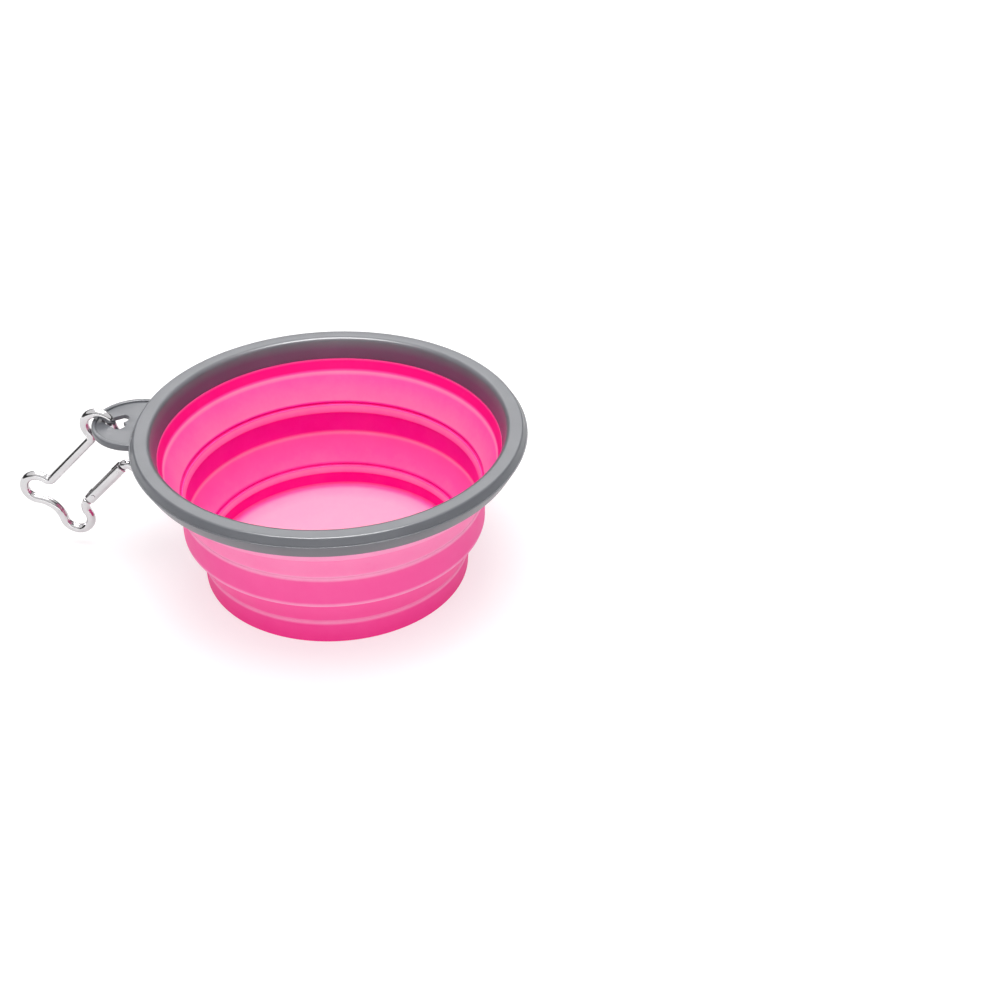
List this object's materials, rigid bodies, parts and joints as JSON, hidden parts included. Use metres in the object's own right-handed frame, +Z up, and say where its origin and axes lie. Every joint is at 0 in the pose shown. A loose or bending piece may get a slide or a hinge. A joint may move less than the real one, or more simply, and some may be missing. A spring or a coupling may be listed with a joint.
{
  "type": "collapsible silicone bowl",
  "caption": "Round folding silicone bowl with stiff rings joined by thin webs, a hard rim with a hang tab and a bone-shaped spring clip",
  "frame": {"origin": "on the bowl's axis, at the middle of the flat underside that it stands on", "axes": "+Z up out of the bowl's mouth, the hang tab and the clip towards -X, the clip's plane in XZ"},
  "size_m": [0.1769, 0.1314, 0.0561],
  "materials": {
    "silicone": "soft satin silicone, faintly translucent",
    "rim_plastic": "satin moulded plastic",
    "clip_chrome": "bright chrome plating",
    "spring_steel": "plain drawn wire"
  },
  "bodies": {
    "base": {"base_cup": "silicone", "lower_fold": "silicone"},
    "middle": {"middle_ring": "silicone", "upper_fold": "silicone"},
    "rim": {"collar_ring": "silicone", "rim_cap": "rim_plastic", "rim_frame": "rim_plastic"},
    "carabiner": {"carabiner_frame": "clip_chrome"},
    "gate": {"carabiner_gate": "clip_chrome", "hinge_rivet": "clip_chrome", "latch_pin": "clip_chrome", "gate_spring": "spring_steel"}
  },
  "joints": [
    {"name": "lower_fold_slide", "type": "slide", "parent": "base", "child": "middle", "axis": [0, 0, 1], "range_m": [-0.0186, 0], "deforming": ["lower_fold"]},
    {"name": "upper_fold_slide", "type": "slide", "parent": "middle", "child": "rim", "axis": [0, 0, 1], "range_m": [-0.022, 0], "deforming": ["upper_fold"]},
    {"name": "carabiner_swing", "type": "hinge", "parent": "rim", "child": "carabiner", "pos_m": [-0.07955, 0, 0.04968], "axis": [0, -1, 0], "range_deg": [-120, 10]},
    {"name": "gate_hinge", "type": "hinge", "parent": "carabiner", "child": "gate", "pos_m": [-0.08481, 0, 0.02137], "axis": [0, -1, 0], "range_deg": [0, 35], "stiffness_Nm_per_rad": 0.03, "springref_deg": -28.65}
  ]
}
